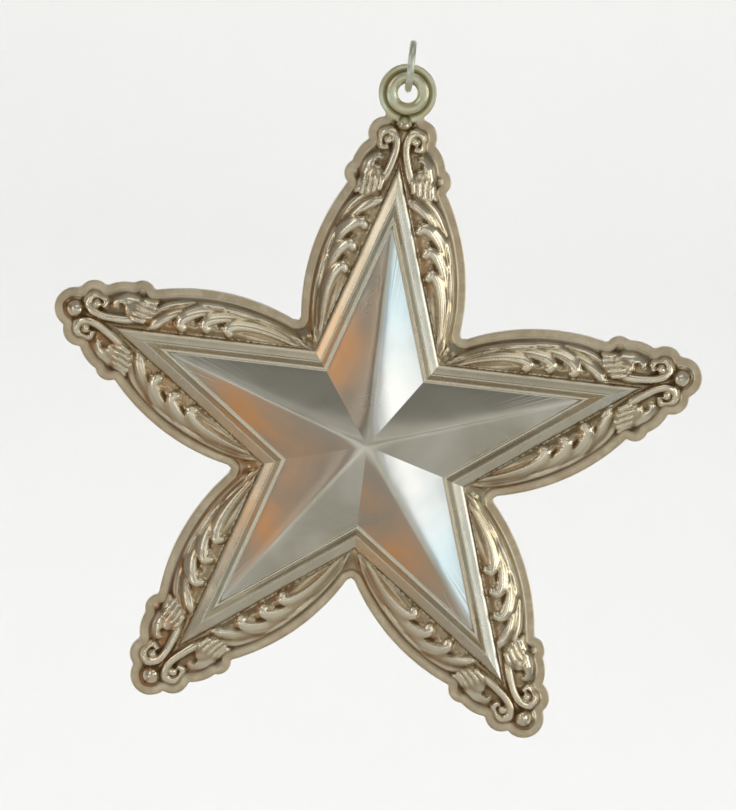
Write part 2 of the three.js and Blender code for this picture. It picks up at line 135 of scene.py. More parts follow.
SLANT_COS = math.cos(EDGE_SLANT)
SLANT_SIN = math.sin(EDGE_SLANT)
SECTOR = math.pi / ARMS
LEAF_EDGE = FACET_REACH + MOULDING_WIDTH
MOULDING_POINT = LEAF_EDGE / SLANT_SIN
EYELET_CENTRE = ARM_LENGTH + EYELET_BEYOND
RING_FOOT = EYELET_RADIUS - EYELET_RIM
TIP_BEAD_CENTRE = ARM_LENGTH - TIP_BEAD_BACK
TOP_BEAD_CENTRE = EYELET_CENTRE - RING_FOOT - TOP_BEAD_GAP - BEAD_RADIUS
RING_RADIUS = (RING_INSIDE + WIRE) / 2
RING_CENTRE_Z = -RING_INSIDE / 2
EYELET_Z = RING_CENTRE_Z - RING_RADIUS + WIRE / 2 + HOLE_CLEARANCE - HOLE_RADIUS
STAR_Z = EYELET_Z - EYELET_CENTRE


def smooth(start, end, value):
    """A soft step from 0 to 1."""
    t = np.clip((value - start) / (end - start), 0, 1)
    return t * t * (3 - 2 * t)


# Outline of half an arm: x across from the arm's axis, y along it from the centre

# Stops of its stations: 0 in the notch, 1 at the point of the moulding, and more beside the tip
LEAF_START = 0.012
LEAF_STOP = 0.82
PALMETTE_STOP = 0.92
SHOULDER_STOP = 1.3
NECK_STOP = 1.34
SEAM_STOP = 1.55
TIP_STOP = 1.75


def lobe(x, back, radius):
    """A circle of the outline: how far across, how far back from the arm's end, and its radius."""
    return np.array([x, ARM_LENGTH - back, radius])


PALMETTE_LOBE = lobe(4.69, 8.92, 1.6)
COLLAR_LOBE = lobe(1.0, 8.33, 4.58)
SHOULDER_LOBE = lobe(2.08, 3.95, 1.98)
TIP_LOBE = lobe(0, 2.4, 2.4)
EYELET_DISC = np.array([0, EYELET_CENTRE, EYELET_RADIUS])


def on_circle(circle, angle):
    return np.stack([circle[0] + circle[2] * np.cos(angle), circle[1] + circle[2] * np.sin(angle)], -1)


def angle_on(circle, place):
    return math.atan2(place[1] - circle[1], place[0] - circle[0])


def crossing(first, second):
    apart = second[:2] - first[:2]
    length = np.hypot(*apart)
    along = (length**2 + first[2] ** 2 - second[2] ** 2) / (2 * length)
    aside = math.sqrt(max(0, first[2] ** 2 - along**2))
    return np.array([
        first[0] + (along * apart[0] + aside * apart[1]) / length,
        first[1] + (along * apart[1] - aside * apart[0]) / length,
    ])


def arc(circle, start, end, steps):
    first, last = angle_on(circle, start), angle_on(circle, end)
    return on_circle(circle, first + (last - first) * np.arange(steps) / steps)


def leaf_arc(end):
    """The circle of the long leaf's edge, from its widest place to its end."""
    inward = LEAF_HALF_WIDTH - end[0]
    onward = end[1] - LEAF_WIDEST
    radius = (inward**2 + onward**2) / (2 * inward)
    return np.array([LEAF_HALF_WIDTH - radius, LEAF_WIDEST, radius])


LEAF_END = on_circle(PALMETTE_LOBE, LEAF_END_ANGLE)
LEAF_ARC = leaf_arc(LEAF_END)


def notch():
    """The bottom of the notch between two arms, and where its fillet meets the leaf's arc."""
    halfway = np.array([math.sin(SECTOR), math.cos(SECTOR)])
    reach = LEAF_ARC[2] + NOTCH_FILLET
    half = halfway @ LEAF_ARC[:2]
    middle = half + math.sqrt(half**2 - (LEAF_ARC[:2] @ LEAF_ARC[:2] - reach**2))
    centre = halfway * middle
    meeting = LEAF_ARC[:2] + (centre - LEAF_ARC[:2]) * LEAF_ARC[2] / reach
    return halfway * (middle - NOTCH_FILLET), meeting


def edge_place(reach, stop):
    """Places on a line parallel to a facet's straight edge, from the valley (0) to the ridge (1)."""
    corner = reach / math.sin(SECTOR + EDGE_SLANT)
    x = corner * math.sin(SECTOR) * (1 - stop)
    y = corner * math.cos(SECTOR) * (1 - stop) + reach / SLANT_SIN * stop
    return np.stack([x, y], -1)


def outline_runs(is_top):
    """Runs of places along the outline of half an arm, each with the stop where it starts."""
    bottom, meeting = notch()
    collar_start = crossing(PALMETTE_LOBE, COLLAR_LOBE)
    shoulder_start = crossing(COLLAR_LOBE, SHOULDER_LOBE)
    tip_start = crossing(SHOULDER_LOBE, TIP_LOBE)
    runs = [
        (0, bottom[None]),
        (LEAF_START, arc(LEAF_ARC, meeting, LEAF_END, LEAF_STEPS)),
        (LEAF_STOP, arc(PALMETTE_LOBE, LEAF_END, collar_start, LOBE_STEPS)),
        (PALMETTE_STOP, arc(COLLAR_LOBE, collar_start, shoulder_start, LOBE_STEPS)),
        (1, arc(SHOULDER_LOBE, shoulder_start, tip_start, LOBE_STEPS)),
    ]
    if is_top:
        neck = crossing(TIP_LOBE, EYELET_DISC)
        seam_end = on_circle(EYELET_DISC, -math.pi / 2)
        runs.append((SHOULDER_STOP, arc(TIP_LOBE, tip_start, neck, NECK_STEPS)))
        runs.append((NECK_STOP, arc(EYELET_DISC, neck, seam_end, LOBE_STEPS)))
        runs.append((SEAM_STOP, seam_end[None]))
    else:
        tip = on_circle(TIP_LOBE, math.pi / 2)
        runs.append((SHOULDER_STOP, arc(TIP_LOBE, tip_start, tip, LOBE_STEPS)))
        runs.append((TIP_STOP, tip[None]))
    return runs


class HalfArm:
    """Stations of half an arm, each from an inner place on the moulding or the axis to the outline."""

    def __init__(self, is_top):
        self.is_top = is_top
        starts, runs = zip(*outline_runs(is_top))
        self.outer = np.concatenate(runs)
        self.stop = np.concatenate([
            start + (end - start) * np.arange(len(run)) / len(run)
            for start, end, run in zip(starts, starts[1:] + starts[-1:], runs)
        ])
        inner = edge_place(LEAF_EDGE, np.minimum(self.stop, 1))
        beyond = np.maximum(0, self.stop - 1)
        inner[:, 1] += (ARM_LENGTH - inner[:, 1]) * beyond
        self.inner = inner
        self.rays = self.stop[self.stop <= 1 + 1e-9]
        # Stations at the outside, without the seam between the top arm and the eyelet
        self.free = slice(None, -LOBE_STEPS if is_top else None)
        line = self.outer[self.free]
        self.starts, self.ends = line[:-1], line[1:]

    def at(self, share):
        share = np.asarray(share)[..., None]
        return self.inner + (self.outer - self.inner) * share

    def depth(self, places):
        """Distance in from the outline, without the seam between the top arm and the eyelet."""
        flat = places.reshape(-1, 2)
        best = np.full(len(flat), np.inf)
        for start, end in zip(self.starts, self.ends):
            along = end - start
            t = np.clip(((flat - start) @ along) / (along @ along), 0, 1)
            best = np.minimum(best, np.hypot(*(flat - start - t[:, None] * along).T))
        return best.reshape(places.shape[:-1])

    def share_at(self, depth):
        """Share of each station at which it is that deep inside the outline, found by halving."""
        inside, outside = np.zeros(len(self.stop)), np.ones(len(self.stop))
        for _ in range(HALVINGS):
            middle = (inside + outside) / 2
            deeper = self.depth(self.at(middle)) > depth
            inside, outside = np.where(deeper, middle, inside), np.where(deeper, outside, middle)
        return np.where(self.depth(self.outer) > depth, 1, inside)

    def heights(self, places):
        """Heights of the struck face over the rim."""
        height_at = top_height if self.is_top else face_height
        return height_at(self, places[..., 0], places[..., 1])


# Relief of the leaf border, struck from lines in arm coordinates

# A ribbon's crease, as shares of its half width
CREASE_PLACE = 0.36
CREASE_WIDTH = 0.13


def through(points, steps=26):
    """A smooth line through a few points."""
    points = np.array(points, float)
    padded = np.vstack([2 * points[0] - points[1], points, 2 * points[-1] - points[-2]])
    t = np.linspace(0, len(points) - 1, steps)
    i = np.minimum(t.astype(int), len(points) - 2)
    u = (t - i)[:, None]
    a, b, c, d = (padded[i + k] for k in range(4))
    return 0.5 * (2 * b + (c - a) * u + (2 * a - 5 * b + 4 * c - d) * u**2 + (3 * b - a - 3 * c + d) * u**3)


class Stroke:
    """A raised line. Its inner side, to the right of its way, can be narrower and steeper than its outer."""

    def __init__(self, points, heights, inner, outer=None, power=0.5, outer_power=None, fold=0.0, flat=2.0):
        self.line = through(points)
        steps = np.linspace(0, 1, len(self.line))
        self.heights, self.inner, self.outer = (
            np.interp(steps, np.linspace(0, 1, len(values)), values)
            for values in (heights, inner, outer or inner)
        )
        self.power = power
        self.outer_power = outer_power or power
        self.fold = fold
        self.flat = flat

    def height(self, x, y):
        start, way = self.line[:-1], np.diff(self.line, axis=0)
        apart_x, apart_y = x[..., None] - start[:, 0], y[..., None] - start[:, 1]
        length = np.hypot(way[:, 0], way[:, 1])
        t = np.clip((apart_x * way[:, 0] + apart_y * way[:, 1]) / length**2, 0, 1)
        off_x, off_y = apart_x - t * way[:, 0], apart_y - t * way[:, 1]
        off = np.hypot(off_x, off_y)
        side = (way[:, 0] * off_y - way[:, 1] * off_x) / np.maximum(off * length, 1e-9)
        outwards = 0.5 + 0.5 * side
        inner, outer, height = (
            values[:-1] + np.diff(values) * t for values in (self.inner, self.outer, self.heights)
        )
        share = off / (inner + (outer - inner) * outwards)
        power = self.power + (self.outer_power - self.power) * outwards
        crease = self.fold * np.exp(-(((share * side - CREASE_PLACE) / CREASE_WIDTH) ** 2))
        return (height * (np.maximum(0, 1 - share**self.flat) ** power - crease)).max(-1)


def dome(x, y, centre, radius, height, power=0.6):
    off = ((x - centre[0]) ** 2 + (y - centre[1]) ** 2) / radius**2
    return height * np.maximum(0, 1 - off) ** power


def ribbon(points, heights, inner, outer):
    """A ribbon of the long leaf, from its rounded head beside the moulding to its tail near the rim."""
    return Stroke(points, heights, inner, outer, outer_power=1.1, fold=0.12, flat=2.8)


RIBBONS = [
    ribbon(
        [(1.75, 28.45), (2.6, 28.15), (3.8, 27.3), (4.9, 26.1), (5.9, 24.5)],
        [0.35, 0.55, 0.62, 0.5, 0.15], [0.6, 0.8, 0.75, 0.6, 0.3], [0.5, 0.7, 0.8, 0.9, 0.7],
    ),
    ribbon(
        [(4.9, 19.95), (5.4, 20.3), (6.1, 19.5), (6.7, 17.6), (7.0, 15.2), (6.95, 12.8), (6.7, 11.1)],
        [0.65, 0.8, 0.8, 0.65, 0.5, 0.35, 0.1], [0.6, 0.7, 0.7, 0.6, 0.5, 0.35, 0.2],
        [0.6, 0.8, 1.0, 1.0, 0.8, 0.6, 0.3],
    ),
]
for middle_ribbon in (
    [(3.2, 25.25), (3.75, 25.6), (4.7, 25.2), (5.75, 24.0), (6.55, 22.3), (7.0, 20.5)],
    [(4.25, 22.6), (4.8, 22.95), (5.65, 22.35), (6.45, 20.9), (7.05, 19.05), (7.3, 17.2)],
):
    RIBBONS.append(ribbon(
        middle_ribbon,
        [0.7, 0.85, 0.85, 0.7, 0.45, 0.1], [0.6, 0.7, 0.75, 0.65, 0.5, 0.3], [0.6, 0.8, 1.1, 1.2, 1.0, 0.6],
    ))

FOLDS = [
    Stroke(
        [(2.2, 29.3), (3.4, 28.9), (4.7, 27.9), (5.8, 26.3), (6.6, 24.4)],
        [0.3, 0.5, 0.5, 0.4, 0.1], [0.3, 0.4, 0.45, 0.45, 0.3],
    ),
    Stroke(
        [(4.3, 19.0), (5.0, 17.4), (5.5, 15.2), (5.8, 13.0), (6.1, 11.3)],
        [0.1, 0.3, 0.36, 0.3, 0.1], [0.45, 0.6, 0.55, 0.45, 0.2],
    ),
]
for low_fold in (
    [(3.06, 22.92), (3.85, 21.04), (4.35, 19.76)],
    [(1.98, 26.28), (2.77, 24.3), (3.26, 22.92)],
):
    FOLDS.append(Stroke(low_fold, [0.05, 0.16, 0.05], [0.5, 0.6, 0.5], power=0.9))

HOLLOWS = [
    Stroke([(2.9, 26.55), (3.7, 26.5), (4.5, 26.05)], [0.05, 0.16, 0.05], [0.25, 0.36, 0.25], power=1.2)
]
for hollow in (
    [(4.0, 24.05), (4.7, 24.0), (5.35, 23.4), (5.85, 22.45)],
    [(4.7, 21.35), (5.35, 21.35), (5.95, 20.65), (6.35, 19.6)],
):
    HOLLOWS.append(Stroke(hollow, [0.05, 0.22, 0.22, 0.05], [0.25, 0.4, 0.36, 0.2], power=1.2))

# The spine near the rim is laid over the ribbons and folds, at a share of its height
LEAF_SPINE = Stroke(
    [
        (5.83, 28.06), (6.62, 26.08), (7.11, 23.81), (7.61, 21.14),
        (7.9, 18.18), (7.95, 15.22), (7.61, 12.35), (7.01, 10.57),
    ],
    [0.05, 0.25, 0.4, 0.5, 0.5, 0.5, 0.45, 0.1], [0.4, 0.5, 0.5, 0.48, 0.45, 0.42, 0.36, 0.2], power=0.8,
)
SPINE_SHARE = 0.8

# The leaf's body, from which the ribbons rise
BED = Stroke(
    [(2.9, 27.6), (4.2, 24.4), (5.3, 20.9), (5.95, 17.0), (6.2, 13.0)], [0.3, 0.42, 0.42, 0.36, 0.15],
    [1.0, 1.15, 1.15, 0.95, 0.5], [1.6, 1.9, 1.8, 1.5, 0.9], power=0.8,
)

# The palmette at the head of the leaf: a smooth shoulder, a fan of hanging fingers and a pit
SHOULDER = Stroke(
    [(3.85, 31.3), (3.6, 32.3), (2.8, 33.3)], [0.55, 0.66, 0.35],
    [0.75, 0.95, 0.8], [0.85, 1.0, 0.8], power=0.8,
)
FAN = Stroke([(3.0, 31.4), (3.1, 30.0)], [0.56, 0.5], [1.2, 1.45])
FINGERS = [
    Stroke([high, middle, low], [0.3, 0.74, 0.84], [0.3, 0.36, 0.38], power=0.6)
    for high, middle, low in [
        ((2.0, 31.6), (1.85, 30.6), (2.0, 29.7)),
        ((2.65, 32.0), (2.5, 30.7), (2.7, 29.4)),
        ((3.25, 32.1), (3.2, 30.7), (3.4, 29.15)),
        ((3.75, 31.8), (3.85, 30.5), (4.05, 29.1)),
        ((4.1, 31.0), (4.35, 30.1), (4.65, 29.2)),
    ]
]
PIT = ((2.5, 32.75), 0.5, 0.4)

# Two strands pass the point of the moulding and end in volutes
STRAND = Stroke(
    [
        (1.98, 30.04), (1.43, 31.32), (0.94, 32.8), (0.61, 34.38), (0.74, 35.67),
        (1.43, 36.51), (2.37, 36.26), (2.72, 35.37), (2.37, 34.58), (1.73, 34.53),
    ],
    [0.3, 0.5, 0.6, 0.65, 0.75, 0.9, 0.9, 0.8, 0.65, 0.5],
    [0.4, 0.55, 0.52, 0.52, 0.56, 0.6, 0.58, 0.5, 0.42, 0.34],
)

# The ball of the volute and the pearls along the leaf, each with its middle, radius and height
BALLS = [((1.63, 35.42), 0.6, 0.9)]
BALLS += [(pearl, 0.38, 0.34) for pearl in [(2.52, 24.7), (3.46, 21.93), (4.25, 19.51)]]


def ornament(x, y):
    """Leaves over the ground of the border."""
    raised = np.maximum.reduce([stroke.height(x, y) for stroke in RIBBONS + FOLDS])
    raised = raised + SPINE_SHARE * LEAF_SPINE.height(x, y)
    over = [stroke.height(x, y) for stroke in [SHOULDER, FAN, STRAND] + FINGERS]
    over += [dome(x, y, *ball) for ball in BALLS]
    raised = np.maximum.reduce([raised] + over)
    body = np.maximum(raised, BED.height(x, y))
    sunk = [stroke.height(x, y) for stroke in HOLLOWS] + [dome(x, y, *PIT, power=1.1)]
    return body - np.maximum.reduce(sunk) * (1 - smooth(0.35, 0.6, raised))


# Section of the moulding, from the facets to the border: share of its width, and height over the facets' edge
MOULDING = np.array([
    (0, 0), (0.04, 0.05), (0.08, 0.06), (0.12, 0.03), (0.2, 0.14), (0.3, 0.42), (0.38, 0.66), (0.42, 0.72),
    (0.46, 0.7), (0.52, 0.6), (0.62, 0.44), (0.74, 0.26), (0.86, 0.08), (0.93, -0.08), (0.97, -0.24),
    (1, BORDER_HEIGHT - FACET_FOOT),
])


def tip_fall(y):
    return TIP_FALL * smooth(MOULDING_POINT - TIP_FALL_LENGTH / 2, MOULDING_POINT + TIP_FALL_LENGTH / 2, y)


def border_ground(half, x, y):
    """Height of the border without its leaves, and how far out each place lies, from 0 to 1."""
    out = np.maximum(0, x * SLANT_COS + y * SLANT_SIN - LEAF_EDGE)
    left = np.maximum(0, half.depth(np.stack([x, y], -1)) - RIM_WIDTH)
    share = np.where(left > 1e-6, out / np.maximum(out + left, 1e-9), 1)
    return BORDER_HEIGHT * (1 - share**BORDER_CURVE), share


def evened(ground, rounds=14):
    """Rows of heights with the creases between their stations rounded."""
    even = ground.copy()
    for _ in range(rounds):
        even[:, 1:-1] = (even[:, :-2] + 2 * even[:, 1:-1] + even[:, 2:]) / 4
    return even


def face_height(half, x, y):
    """Height of the struck face over the rim."""
    reach = x * SLANT_COS + y * SLANT_SIN
    rounding = (np.hypot(x, RIDGE_SOFTNESS) - x) * SLANT_COS
    slope = (PEAK_HEIGHT - FACET_FOOT) / FACET_REACH
    share = np.clip(reach / FACET_REACH, 0, 1)
    crown = FACET_CROWN * 4 * share * (1 - share)
    facet = FACET_FOOT + slope * (FACET_REACH - reach - rounding) + crown
    moulding = FACET_FOOT + np.interp((reach - FACET_REACH) / MOULDING_WIDTH, *MOULDING.T)
    ground, share = border_ground(half, x, y)
    fade = 1 - smooth(LEAF_FADE, 1, share)
    bead = 0 if half.is_top else dome(x, y, (0, TIP_BEAD_CENTRE), BEAD_RADIUS, TIP_BEAD_HEIGHT)
    border = ground + np.maximum(ornament(x, y) * fade, bead)
    border = np.where(share < 1, border, 0)
    in_moulding = reach <= LEAF_EDGE + 1e-6
    height = np.where(reach <= FACET_REACH, facet, np.where(in_moulding, moulding, border))
    fall = np.where(in_moulding, tip_fall(y), tip_fall(y) * (1 - share**BORDER_CURVE))
    return height - fall


def top_height(half, x, y):
    """Height of the top arm and the eyelet over the rim."""
    radius = np.hypot(x, y - EYELET_CENTRE)
    bead = dome(x, y, (0, TOP_BEAD_CENTRE), BEAD_RADIUS, TOP_BEAD_HEIGHT)
    middle = (RING_FOOT - HOLE_RADIUS) / 2
    off = (radius - HOLE_RADIUS - middle) / middle
    ring = EYELET_RING_HEIGHT * np.sqrt(np.maximum(0, 1 - off**2))
    fade = smooth(0, RIM_WIDTH, radius - EYELET_RADIUS)
    plain = face_height(half, x, y) * fade
    return np.maximum(bead, np.where(radius <= EYELET_RADIUS, ring, plain))


def recesses(height, rounds=12, full=0.22):
    """How deep each point of a grid of heights lies below its surroundings, from 0 to 1."""
    blurred = height.copy()
    for _ in range(rounds):
        padded = np.pad(blurred, 1, mode="edge")
        blurred = (padded[:-2, 1:-1] + padded[2:, 1:-1] + padded[1:-1, :-2] + padded[1:-1, 2:]) / 4
    return np.clip((blurred - height) / full, -1, 1) * 0.5 + 0.5


# Meshes


class Sheet:
    """Rows of points joined into a mesh, with how deep, raised, near the rim and much of a facet each is."""

    def __init__(self):
        self.points, self.faces = [], []
        self.marks = {"recess": [], "rim": [], "facet": [], "relief": []}
        self.count = 0

    def grid(self, places, heights, recess=0.5, rim=0.0, facet=0.0, relief=0.5, turned=False):
        rows, columns = heights.shape
        points = np.stack([places[..., 0], -FRONT_SHEET - heights, places[..., 1]], -1)
        self.points.append(points.reshape(-1, 3))
        for key, mark in (("recess", recess), ("rim", rim), ("facet", facet), ("relief", relief)):
            self.marks[key].append(np.broadcast_to(mark, heights.shape).ravel())
        index = self.count + np.arange(rows * columns).reshape(rows, columns)
        corners = [index[:-1, :-1], index[1:, :-1], index[1:, 1:], index[:-1, 1:]]
        if turned:
            corners.reverse()
        self.faces.append(np.stack(corners, -1).reshape(-1, 4))
        self.count += rows * columns

    def mesh(self, name):
        mesh = bpy.data.meshes.new(name)
        points = np.concatenate(self.points) * MM
        mesh.from_pydata(points.tolist(), [], np.concatenate(self.faces).tolist())
        for key, values in self.marks.items():
            layer = mesh.attributes.new(key, "FLOAT", "POINT")
            layer.data.foreach_set("value", np.concatenate(values).astype(np.float32))
        work = bmesh.new()
        work.from_mesh(mesh)
        bmesh.ops.remove_doubles(work, verts=work.verts, dist=2e-7)
        work.to_mesh(mesh)
        work.free()
        return mesh


def add_facets(sheet, half):
    """The facets and the moulding of half an arm. Gives the heights of the moulding's foot."""
    reaches = np.concatenate([
        (FACET_REACH - FACET_MARGIN) * np.linspace(0, 1, FACET_ROWS),
        FACET_REACH + MOULDING_WIDTH * MOULDING[:, 0],
    ])
    places = np.stack([edge_place(reach, half.rays) for reach in reaches])
    heights = half.heights(places)
    recess = np.full(heights.shape, 0.5)
    recess[FACET_ROWS:] = recesses(heights[FACET_ROWS:], 2, 0.3)
    tone = np.where(reaches <= FACET_REACH, 1, 0.5)[:, None]
    sheet.grid(places, heights, recess, facet=tone, relief=0.78)
    return heights[-1]


def add_border(sheet, half, foot, moulding_foot):
    """The border of half an arm, from the moulding or the axis to the foot of the rim."""
    rows = np.linspace(0, 1, BORDER_ROWS) ** ROW_CROWDING
    places = np.stack([half.at(share * foot) for share in rows])
    ground = border_ground(half, places[..., 0], places[..., 1])[0][:, half.free]
    heights = half.heights(places)
    heights[:, half.free] += evened(ground) - ground
    heights[0, : len(half.rays)] = moulding_foot
    relief = np.clip(ornament(places[..., 0], places[..., 1]) / CREST_HEIGHT, 0, 1)
    sheet.grid(places, heights, recesses(heights), smooth(0.9, 1, rows)[:, None], relief=relief)


def add_rim(sheet, half, foot):
    """The flat rim of half an arm, its rounded lip and the edge of the sheet."""
    depths, drops = np.array(LIP_ROWS).T
    lip = [half.at(half.share_at(depth)) for depth in depths]
    places = np.stack([half.at(foot), *lip, half.outer, half.outer])
    drops = np.tile(np.array([0, *drops, LIP_END_DROP, FRONT_SHEET])[:, None], len(foot))
    if half.is_top:
        drops[:-1, -LOBE_STEPS - 1 :] = 0
    heights = half.heights(places) - drops
    sheet.grid(places[:, half.free], heights[:, half.free], rim=1.0)
    if half.is_top:
        seam = np.s_[:-1, -LOBE_STEPS - 1 :]
        sheet.grid(places[seam], heights[seam], rim=1.0)


def add_lining(sheet, half, foot):
    """The plainer inside of the struck sheet over half an arm."""

    def lining(height):
        return np.maximum(0, height - RIDGE_THINNING) - FRONT_SHEET

    def border_level(places):
        return BORDER_HEIGHT - BORDER_LINING_DROP - tip_fall(places[:, 1])

    inner = [edge_place(reach, half.rays) for reach in (0.0, FACET_REACH, LEAF_EDGE)]
    peak = np.full(len(half.rays), PEAK_HEIGHT - PEAK_LINING_DROP)
    levels = np.stack([peak, FACET_FOOT - tip_fall(inner[1][:, 1]), border_level(inner[2])])
    sheet.grid(np.stack(inner), lining(levels), rim=0.5, turned=True)
    places = np.stack([half.at(0 * foot), half.at(foot * LINING_BEND), half.at(foot), half.outer])
    level = border_level(places[0])
    flat = np.zeros(len(foot))
    levels = np.stack([level, level * LINING_BEND_LEVEL, flat, flat])
    sheet.grid(places, lining(levels), rim=0.5, turned=True)


def half_arm(sheet, half):
    """The struck face, the edge and the plainer inside of half an arm."""
    foot = half.share_at(RIM_WIDTH)
    moulding_foot = add_facets(sheet, half)
    add_border(sheet, half, foot, moulding_foot)
    add_rim(sheet, half, foot)
    add_lining(sheet, half, foot)


def free_angles(half):
    """Angles of the stations round the free part of the eyelet, from the right end of its seam."""
    start = angle_on(EYELET_DISC, half.outer[-LOBE_STEPS - 1])
    return start + (math.pi - 2 * start) * np.arange(1, EYELET_STEPS) / EYELET_STEPS


def eyelet(sheet, half):
    """The ring of sheet round the eyelet's hole, over the whole width of the top arm."""
    seam = [angle_on(EYELET_DISC, place) for place in half.outer[-LOBE_STEPS - 1 :]]
    angles = np.concatenate([seam[::-1], free_angles(half), [math.pi - angle for angle in seam]])
    across = 0.5 - 0.5 * np.cos(np.pi * np.linspace(0, 1, EYELET_ROWS))
    reaches, drops = np.array(EYELET_LIP_ROWS).T
    radii = np.concatenate([
        HOLE_RADIUS + (RING_FOOT - HOLE_RADIUS) * across, RING_FOOT + EYELET_FLAT_ROWS, EYELET_RADIUS - reaches
    ])
    places = on_circle((0, EYELET_CENTRE, radii[:, None]), angles)
    level = half.heights(places)
    level[-len(drops) :, LOBE_STEPS + 1 : -LOBE_STEPS - 1] -= drops[:, None]
    groove = np.exp(-((radii - RING_FOOT) / GROOVE_WIDTH) ** 2)[:, None] * 0.4 + 0.5
    sheet.grid(places, level, groove, rim=0.6)
    arch = slice(LOBE_STEPS, -LOBE_STEPS)
    back = np.full((1, len(angles)), -FRONT_SHEET)
    sheet.grid(places[[-1, -1], arch], np.concatenate([level[-1:, arch], back[:, arch]]), rim=1.0)
    sheet.grid(places[[0, 0]], np.concatenate([level[:1], back]), 0.6, rim=0.6, turned=True)
    sheet.grid(places[[0, -1]], np.concatenate([back, back]), rim=0.5, turned=True)


# Geometry Nodes and finishes share the helpers that add nodes to a tree


def placed(mesh, name):
    piece = bpy.data.objects.new(name, mesh)
    bpy.context.scene.collection.objects.link(piece)
    return piece


class Value:
    """What a node's socket carries. Reckoning with it adds Math nodes to its tree."""

    def __init__(self, tree, socket):
        self.tree = tree
        self.socket = socket

    def math(self, operation, first, second, clamp=False):
        return add(self.tree, "ShaderNodeMath", {0: first, 1: second}, operation=operation, use_clamp=clamp)

    def __add__(self, other):
        return self.math("ADD", self, other)

    __radd__ = __add__

    def __sub__(self, other):
        return self.math("SUBTRACT", self, other)

    def __rsub__(self, other):
        return self.math("SUBTRACT", other, self)

    def __mul__(self, other):
        return self.math("MULTIPLY", self, other)

    __rmul__ = __mul__

    def held(self):
        """Kept from 0 to 1."""
        return self.math("ADD", self, 0.0, True)

    def above(self, start, gain):
        """How far it lies above a start, times a gain, kept from 0 to 1."""
        return ((self - start) * gain).held()

    def below(self, start, gain):
        """How far it lies below a start, times a gain, kept from 0 to 1."""
        return ((start - self) * gain).held()

    def larger(self, other):
        return self.math("MAXIMUM", self, other)


def add(tree, kind, values=None, output=0, **settings):
    """Adds a node, with the values or links of its sockets and its settings. Gives one of its outputs."""
    node = tree.nodes.new(kind)
    for key, value in settings.items():
        setattr(node, key, value)
    for key, value in (values or {}).items():
        if isinstance(value, Value):
            tree.links.new(value.socket, node.inputs[key])
        else:
            node.inputs[key].default_value = value
    return Value(tree, node.outputs[output]) if node.outputs else None


def joined(*geometries):
    """Several geometries of a tree as one."""
    tree = geometries[0].tree
    whole = tree.nodes.new("GeometryNodeJoinGeometry")
    for geometry in geometries:
        tree.links.new(geometry.socket, whole.inputs[0])
    return Value(tree, whole.outputs[0])


SOCKET_KINDS = {int: "Int", float: "Float", bpy.types.Object: "Object", bpy.types.Material: "Material"}


def made_by(build, source, name, inputs):
    """A plain object that a Geometry Nodes tree makes from a source, with the tree's inputs by name."""
    tree = bpy.data.node_groups.new(name, "GeometryNodeTree")
    sockets = [("Geometry", "INPUT", "Geometry")]
    sockets += [(key, "INPUT", SOCKET_KINDS[type(value)]) for key, value in inputs.items()]
    for key, way, kind in sockets + [("Geometry", "OUTPUT", "Geometry")]:
        tree.interface.new_socket(key, in_out=way, socket_type="NodeSocket" + kind)
    given = {socket.name: Value(tree, socket) for socket in tree.nodes.new("NodeGroupInput").outputs}
    height = add(tree, "ShaderNodeCombineXYZ", {"Z": given["Centre Height"]})
    raised = add(tree, "GeometryNodeTransform", {"Geometry": build(tree, given), "Translation": height})
    smoothed = add(tree, "GeometryNodeSetShadeSmooth", {"Geometry": raised})
    finished = add(tree, "GeometryNodeSetMaterial", {"Geometry": smoothed, "Material": given["Finish"]})
    add(tree, "NodeGroupOutput", {"Geometry": finished})

    modifier = source.modifiers.new(name, "NODES")
    modifier.node_group = tree
    for item in tree.interface.items_tree:
        if item.name in inputs:
            modifier[item.identifier] = inputs[item.name]
    graph = bpy.context.evaluated_depsgraph_get()
    mesh = bpy.data.meshes.new_from_object(source.evaluated_get(graph))
    bpy.data.objects.remove(source)
    mesh.name = name
    return placed(mesh, name)


def star_of_arms(tree, given):
    """Mirrors a half arm, turns it round the star, and welds it to the top arm and the eyelet."""

    def mirrored(geometry):
        other = add(tree, "GeometryNodeTransform", {"Geometry": geometry, "Scale": (-1, 1, 1)})
        return joined(geometry, add(tree, "GeometryNodeFlipFaces", {"Mesh": other}))

    top, crown = (
        add(tree, "GeometryNodeObjectInfo", {"Object": given[name]}, "Geometry")
        for name in ("Top Half Arm", "Eyelet")
    )
    points = add(tree, "GeometryNodePoints", {"Count": given["Arms"] - 1})
    place = add(tree, "GeometryNodeInputIndex") + 1
    turn = place * place.math("DIVIDE", 2 * math.pi, given["Arms"])
    angles = add(tree, "ShaderNodeCombineXYZ", {"Y": turn})
    rotation = add(tree, "FunctionNodeEulerToRotation", {"Euler": angles})
    arms = add(tree, "GeometryNodeInstanceOnPoints", {
        "Points": points, "Instance": mirrored(given["Geometry"]), "Rotation": rotation,
    })
    star = joined(arms, mirrored(top), crown)
    real = add(tree, "GeometryNodeRealizeInstances", {"Geometry": star})
    return add(tree, "GeometryNodeMergeByDistance", {"Geometry": real, "Distance": given["Weld"]})


